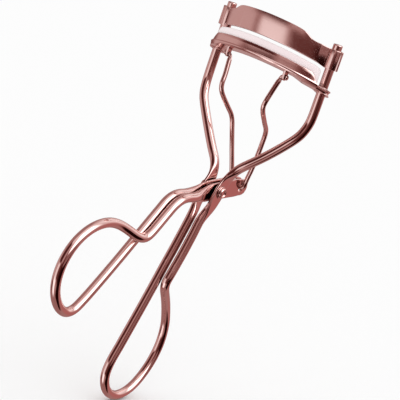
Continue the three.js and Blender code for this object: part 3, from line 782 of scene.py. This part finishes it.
def noise(tree, vector, scale, detail, **more):
    inputs = {"Vector": vector, "Scale": scale, "Detail": detail, **more}
    return node(tree, "TexNoise", inputs).outputs["Fac"]


def mix_colour(tree, factor, a, b):
    inputs = {"Factor": factor, "A": a, "B": b}
    return node(tree, "Mix", inputs, data_type="RGBA").outputs["Result"]


def fine_bump(tree, height, strength):
    inputs = {"Strength": strength, "Distance": 0.00002, "Height": height}
    return node(tree, "Bump", inputs).outputs[0]


def calc(tree, operation, *values):
    return node(tree, "Math", dict(enumerate(values)), operation=operation).outputs[0]


def empty_material(name):
    material = bpy.data.materials.new(name)
    material.use_nodes = True
    material.node_tree.nodes.clear()
    return material, material.node_tree


def finish_material(tree, inputs):
    surface = node(tree, "BsdfPrincipled", inputs)
    node(tree, "OutputMaterial", {0: surface.outputs[0]})


# ------------------------------------------------------------------ materials
PLATING_LIGHT, PLATING_DARK = (0.93, 0.67, 0.635, 1), (0.91, 0.635, 0.595, 1)
# paler metal where exposed edges are worn
PLATING_WORN = (*(min(1, c * gain) for c, gain in zip(PLATING_LIGHT, (1.08, 1.22, 1.25))), 1)
# dark colour painted in as shade in crevices and gaps between parts
CREVICE_SHADE_COLOUR = (0.10, 0.03, 0.025, 1)
# noise scale for drawn lines along the UV length, along X and along Z
STREAK_SCALE = {"uv": (0.25, 34, 1), "x": (120, 2600, 2600), "z": (2600, 2600, 90)}


def metal(name, rough, lines, bump, streak, smudge, crevice=0.0016, open_above=0.72):
    """Polished plating. streak and smudge vary the roughness; crevice is how far (m) the painted
    shade (colour darkened near other surfaces) looks for neighbours, and it fades out where the
    openness is over open_above."""
    material, tree = empty_material(name)
    place = node(tree, "TexCoord").outputs["Object"]
    drift = map_range(tree, noise(tree, place, scale=90, detail=3), source=(0.35, 0.65))
    colour = mix_colour(tree, drift, PLATING_DARK, PLATING_LIGHT)
    pointiness = node(tree, "NewGeometry").outputs["Pointiness"]
    wear = map_range(tree, pointiness, source=(0.53, 0.62), target=(0, 0.35))
    colour = mix_colour(tree, wear, colour, PLATING_WORN)
    # painted shade: the colour turns dark where pieces meet and in recesses, from ambient occlusion
    openness = node(tree, "AmbientOcclusion", {"Distance": crevice}, samples=16).outputs["AO"]
    painted_shade = map_range(tree, openness, source=(0.15, open_above), target=(1, 0))
    colour = mix_colour(tree, painted_shade, colour, CREVICE_SHADE_COLOUR)
    # drawn lines and smudges
    if lines == "uv":
        line_place = node(tree, "UVMap", uv_map="along").outputs[0]
    else:
        line_place = place
    stretched = node(tree, "Mapping", {"Vector": line_place, "Scale": STREAK_SCALE[lines]})
    drawn = noise(tree, stretched.outputs[0], scale=1, detail=4)
    smudges = noise(tree, place, scale=260, detail=5, Roughness=0.65)
    roughness = calc(
        tree, "ADD",
        map_range(tree, drawn, source=(0.3, 0.7), target=(rough - streak / 2, rough + streak / 2)),
        map_range(tree, smudges, source=(0.5, 0.75), target=(0, smudge)))
    finish_material(tree, {"Metallic": 1.0, "Base Color": colour, "Roughness": roughness,
                           "Normal": fine_bump(tree, drawn, bump)})
    return material


def silicone(name):
    material, tree = empty_material(name)
    place = node(tree, "TexCoord").outputs["Object"]
    colour = mix_colour(tree, noise(tree, place, scale=140, detail=3),
                        (0.92, 0.77, 0.78, 1), (0.95, 0.83, 0.84, 1))
    # painted glow: surfaces seen edge-on are painted paler, standing in for light through thin
    # silicone; the pad itself is drawn opaque
    rim = node(tree, "LayerWeight", {"Blend": 0.35}).outputs["Facing"]
    colour = mix_colour(tree, rim, colour, (1.0, 0.97, 0.97, 1))
    grain = noise(tree, place, scale=420, detail=3)
    finish_material(tree, {"Base Color": colour, "IOR": 1.41,
                           "Roughness": map_range(tree, grain, target=(0.38, 0.5)),
                           "Normal": fine_bump(tree, grain, strength=0.08)})
    return material


def floor_paper():
    material, tree = empty_material("floor_paper")
    finish_material(tree, {"Base Color": (0.98, 0.98, 0.98, 1), "Roughness": 0.9,
                           "Specular IOR Level": 0.0})
    return material


# ------------------------------------------------------------------ assembly
frame_wire = build_frame()
lever = build_lever()
press_bar = build_press_bar()
channel = build_channel()
pad = build_pad()
ear_right = build_ear(1, "ear_right")
ear_left = build_ear(-1, "ear_left")
link_right = build_link()
link_left = mirrored(link_right, "link_wire_left")
rivet_right = lathe("rivet_head_right", "x", PIVOT, RIVET, 72, angle=30)
rivet_left = mirrored(rivet_right, "rivet_head_left")
washer_right = build_washer()
washer_left = mirrored(washer_right, "washer_ring_left")

drawn_wire = dict(lines="uv", bump=0.02, streak=0.03, smudge=0.03)
brushed_bar = dict(lines="x", bump=0.03, streak=0.05, smudge=0.03)
small_part = dict(lines="z", bump=0.03, streak=0.04, smudge=0.04)
# crevice and open_above set how far and how strongly each metal's painted crevice shade reaches
wire_metal = metal("polished_wire", rough=0.07, **drawn_wire)
link_metal = metal("polished_link", rough=0.08, crevice=0.0024, open_above=0.88, **drawn_wire)
press_metal = metal("satin_bar", rough=0.17, **brushed_bar)
channel_metal = metal("satin_channel", rough=0.14, **brushed_bar)
rivet_metal = metal("rivet_polish", rough=0.1, crevice=0.0010, open_above=0.92, **small_part)
washer_metal = metal("washer_polish", rough=0.14, **small_part)
ear_metal = metal("ear_polish", rough=0.16, **small_part)
pad_silicone = silicone("soft_silicone")

PIECES = [  # object, material, body it rides, CAD node it replaces, slot
    (frame_wire, wire_metal, "frame_body", "frame", "wire_metal"),
    (lever, wire_metal, "lever_body", "lever_handle", "wire_metal"),
    (press_bar, press_metal, "frame_body", "upper_bar", "bar_metal"),
    (channel, channel_metal, "lower_bar_body", "lower_bar", "bar_metal"),
    (pad, pad_silicone, "lower_bar_body", "silicone_pad", "pad_silicone"),
    (link_right, link_metal, "link_right_body", "link_right", "link_metal"),
    (link_left, link_metal, "link_left_body", "link_left", "link_metal"),
    (ear_right, ear_metal, "lower_bar_body", "link_ear_right", "link_metal"),
    (ear_left, ear_metal, "lower_bar_body", "link_ear_left", "link_metal"),
    (rivet_right, rivet_metal, "frame_body", "rivet_right", "rivet_metal"),
    (rivet_left, rivet_metal, "frame_body", "rivet_left", "rivet_metal"),
    (washer_right, washer_metal, "frame_body", "washer_right", "washer_metal"),
    (washer_left, washer_metal, "frame_body", "washer_left", "washer_metal"),
]
for ob, material, body, cad_node, slot_name in PIECES:
    ob.data.materials.clear()
    ob.data.materials.append(material)
    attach(ob, body)
    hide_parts(cad_node)

# ------------------------------------------------------------------ floor, metres
FLOOR_HALF, FLOOR_GAP = 6.0, 0.00002


def build_floor():
    z = float(cad_lo.z) - FLOOR_GAP
    corners = [(x * FLOOR_HALF, y * FLOOR_HALF, z) for x, y in ((-1, -1), (1, -1), (1, 1), (-1, 1))]
    mesh = bpy.data.meshes.new("floor")
    mesh.from_pydata(corners, [], [(0, 1, 2, 3)])
    floor = bpy.data.objects.new("floor", mesh)
    bpy.context.scene.collection.objects.link(floor)
    mesh.materials.append(floor_paper())
    floor.visible_glossy = False


build_floor()

# ------------------------------------------------------------------ studio
# Soft boxes and flags that only reflections see; all else is lit by a plain white room.
# azimuth, half width, softness, elevation, half height, softness (degrees), brightness;
# a later card covers an earlier one
CARDS = [
    (-190, 62, 14, 30, 46, 14, 0.34),
    (-180, 50, 14, -58, 22, 12, 0.32),
    (70, 36, 12, -26, 34, 12, 0.36),
    (112, 24, 14, 48, 26, 12, 0.62),
    (82, 28, 14, 36, 22, 10, 0.94),
    (-63, 17, 8, 14, 26, 10, 0.44),
    (-42, 14, 8, -2, 30, 12, 0.14),
    (-172, 38, 7, -10, 20, 8, 0.54),
    (-206, 8, 5, -10, 14, 8, 0.20),
    (-142, 22, 8, -36, 9, 8, 0.11),
    (-114, 30, 8, 26, 21, 3, 0.075),
    (-107, 23, 7, -16, 19, 3, 0.86),
    (-134, 4, 4, -15, 18, 4, 0.26),
    (-98, 24, 7, -46, 18, 8, 1.30),
    (-56, 27, 9, -12, 17, 4, 0.12),
    (-34, 9, 5, -14, 19, 5, 0.03),
    (0, 28, 8, 6, 10, 5, 0.24),
    (7, 33, 6, -32, 26, 4, 0.012),
    (0, 37, 9, 43, 24, 7, 2.60),
]
WARM_PANEL = (62, 18, 12, -12, 24, 14)    # same columns, without brightness
WARM_CUT, WARM_LIFT = 0.21, 0.16          # green and blue taken away, red added there
DIM_GREEN, DIM_BLUE = 0.5, 0.55           # powers that warm the dim parts of the room


def build_world():
    world = bpy.data.worlds.new("studio")
    bpy.context.scene.world = world
    world.use_nodes = True
    tree = world.node_tree
    tree.nodes.clear()

    def soft_edge(value, half, soft):
        return map_range(tree, value, target=(1, 0), interpolation_type="SMOOTHSTEP",
                         source=(math.radians(half - soft), math.radians(half + soft)))

    direction = node(tree, "TexCoord").outputs["Generated"]
    x, y, z = node(tree, "SeparateXYZ", {0: direction}).outputs
    azimuth = calc(tree, "ARCTAN2", y, x)
    clamped = calc(tree, "MAXIMUM", calc(tree, "MINIMUM", z, 1.0), -1.0)
    elevation = calc(tree, "ARCSINE", clamped)

    def card_mask(az, half_az, soft_az, el, half_el, soft_el):
        turn = calc(tree, "SUBTRACT", azimuth, math.radians(az))
        rise = calc(tree, "SUBTRACT", elevation, math.radians(el))
        return calc(tree, "MULTIPLY",
                    soft_edge(calc(tree, "PINGPONG", turn, math.pi), half_az, soft_az),
                    soft_edge(calc(tree, "ABSOLUTE", rise), half_el, soft_el))

    # the room brightens upwards, and each card is laid over it
    level = map_range(tree, elevation, source=(math.radians(-70), math.radians(85)),
                      target=(0.30, 0.90))
    for *shape, brightness in CARDS:
        change = calc(tree, "SUBTRACT", brightness, level)
        level = calc(tree, "ADD", level, calc(tree, "MULTIPLY", card_mask(*shape), change))

    dim = calc(tree, "MINIMUM", level, 1.0)
    warm = card_mask(*WARM_PANEL)
    keep = calc(tree, "SUBTRACT", 1.0, calc(tree, "MULTIPLY", warm, WARM_CUT))
    lift = calc(tree, "ADD", 1.0, calc(tree, "MULTIPLY", warm, WARM_LIFT))
    red = calc(tree, "MULTIPLY", level, lift)
    green, blue = (
        calc(tree, "MULTIPLY", keep,
             calc(tree, "MULTIPLY", level, calc(tree, "POWER", dim, power)))
        for power in (DIM_GREEN, DIM_BLUE))
    tone = node(tree, "CombineColor", {0: red, 1: green, 2: blue}).outputs[0]

    room = node(tree, "Background", {"Color": (1, 1, 1, 1), "Strength": 1.0})
    boxes = node(tree, "Background", {"Color": tone})
    glossy = node(tree, "LightPath").outputs["Is Glossy Ray"]
    pick = node(tree, "MixShader", {0: glossy, 1: room.outputs[0], 2: boxes.outputs[0]})
    node(tree, "OutputWorld", {0: pick.outputs[0]})
    world.cycles.sampling_method = "NONE"


build_world()

# ------------------------------------------------------------------ camera
CAMERA_AZIMUTH, CAMERA_ELEVATION, CAMERA_ROLL = 30, 13.428, -18.992   # degrees
CAMERA_TARGET = (-7.055, 0, -6.924)                                   # design mm
CAMERA_DISTANCE = 0.383                                               # metres
SENSOR_WIDTH, LENS = 36, 120.402                                      # mm


def build_camera():
    azimuth, elevation, roll = (math.radians(degrees) for degrees in
                                (CAMERA_AZIMUTH, CAMERA_ELEVATION, CAMERA_ROLL))
    back = Vector((math.sin(azimuth) * math.cos(elevation),
                   -math.cos(azimuth) * math.cos(elevation), math.sin(elevation)))
    level_right = Vector((math.cos(azimuth), math.sin(azimuth), 0))
    level_up = back.cross(level_right)
    right = level_right * math.cos(roll) - level_up * math.sin(roll)
    up = level_right * math.sin(roll) + level_up * math.cos(roll)
    data = bpy.data.cameras.new("camera")
    data.sensor_width = SENSOR_WIDTH
    data.lens = LENS
    data.clip_start, data.clip_end = 0.01, 50
    camera = bpy.data.objects.new("camera", data)
    bpy.context.scene.collection.objects.link(camera)
    placing = Matrix((right, up, back)).transposed().to_4x4()
    target = (Vector(CAMERA_TARGET) + Vector(SHIFT)) * MM
    placing.translation = target + back * CAMERA_DISTANCE
    camera.matrix_world = placing
    bpy.context.scene.camera = camera


build_camera()
bpy.context.scene.view_settings.view_transform = "Standard"
